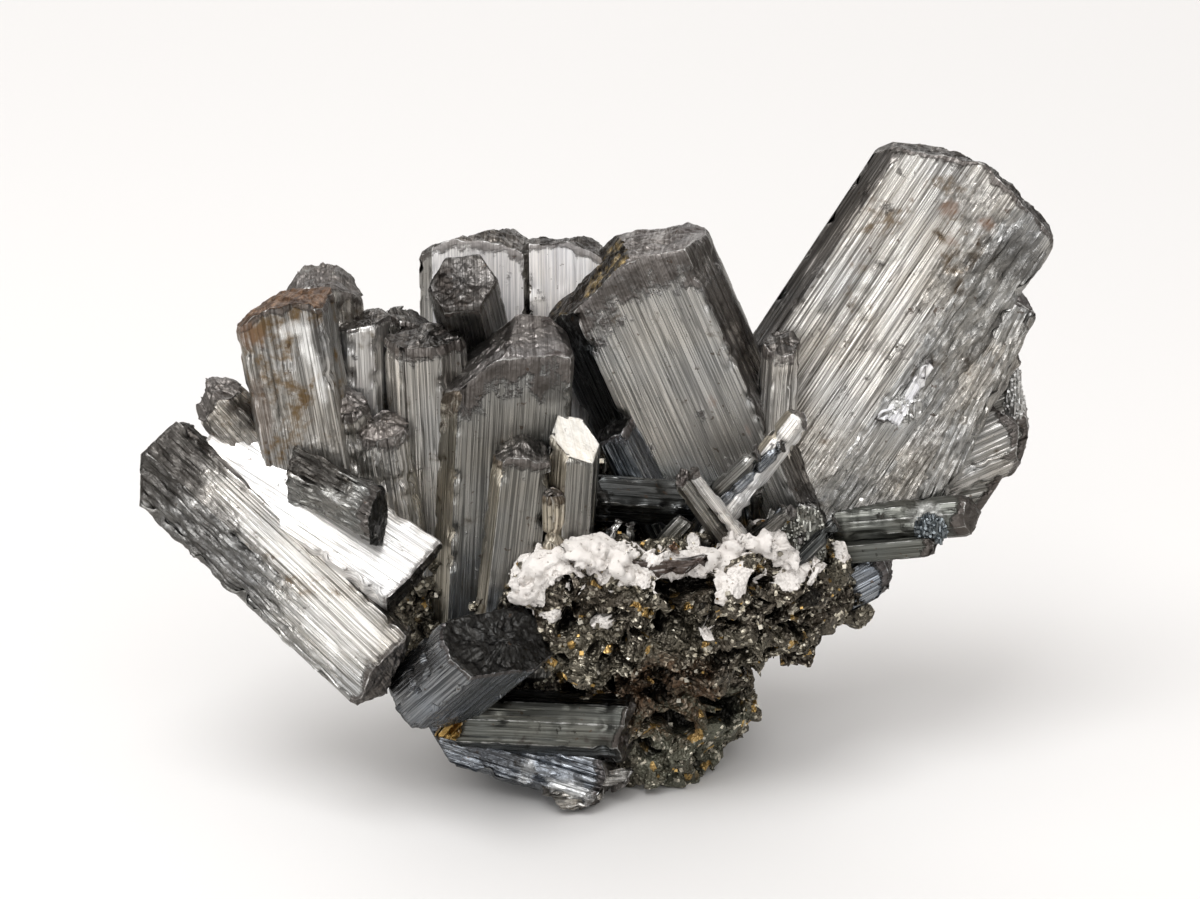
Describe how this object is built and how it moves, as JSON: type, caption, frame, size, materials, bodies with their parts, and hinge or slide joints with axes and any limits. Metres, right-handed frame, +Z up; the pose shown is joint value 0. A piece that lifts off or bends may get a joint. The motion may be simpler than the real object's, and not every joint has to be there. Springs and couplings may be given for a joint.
{
  "type": "stibnite crystal spray",
  "caption": "Spray of striated steel-grey prismatic crystals on a dark granular sulphide matrix with a white crust, resting on a flat broken face.",
  "frame": {"origin": "on the flat broken face that the matrix rests on, under the middle of the spray", "axes": "+Z up from the resting face, +X to the right along the spray's width as seen from its display side, +Y away from the display side"},
  "size_m": [0.1101, 0.0542, 0.0764],
  "materials": {
    "right_crystals": "warm silver, striated along the blade, rough and blue-grey towards its right edge, dark ends",
    "leaning_crystals": "steel grey, finely striated, frosted brown-grey termination with gold-coloured flecks on its left facet",
    "front_crystals": "dark steel grey, striated, frosted brown termination, one small crystal with a mirror-bright end",
    "left_bundle": "grey with golden and rusty stain, striated, rusty end facets, bright broken steps",
    "back_crystals": "bright silver front faces, dark pitted ends",
    "lying_crystals": "near-white bright upper faces with fine lines, rough grey lower sides",
    "lower_dark_crystal": "blue-black, blocky broken end, fine slanting striation",
    "base_crystals": "dark blue-grey, close horizontal striation, frosted lower edge",
    "needle_crystals": "bright to dark grey, smooth small prisms",
    "matrix": "dark brown granular sulphide with gold and silver glints, greenish at its lower knob",
    "white_crust": "chalk-white, matt and lumpy, with small orange and brown specks"
  },
  "bodies": {
    "root": {"right_crystals": "right_crystals", "leaning_crystals": "leaning_crystals", "front_crystals": "front_crystals", "left_bundle": "left_bundle", "back_crystals": "back_crystals", "lying_crystals": "lying_crystals", "lower_dark_crystal": "lower_dark_crystal", "base_crystals": "base_crystals", "needle_crystals": "needle_crystals", "matrix": "matrix", "white_crust": "white_crust"}
  },
  "joints": []
}
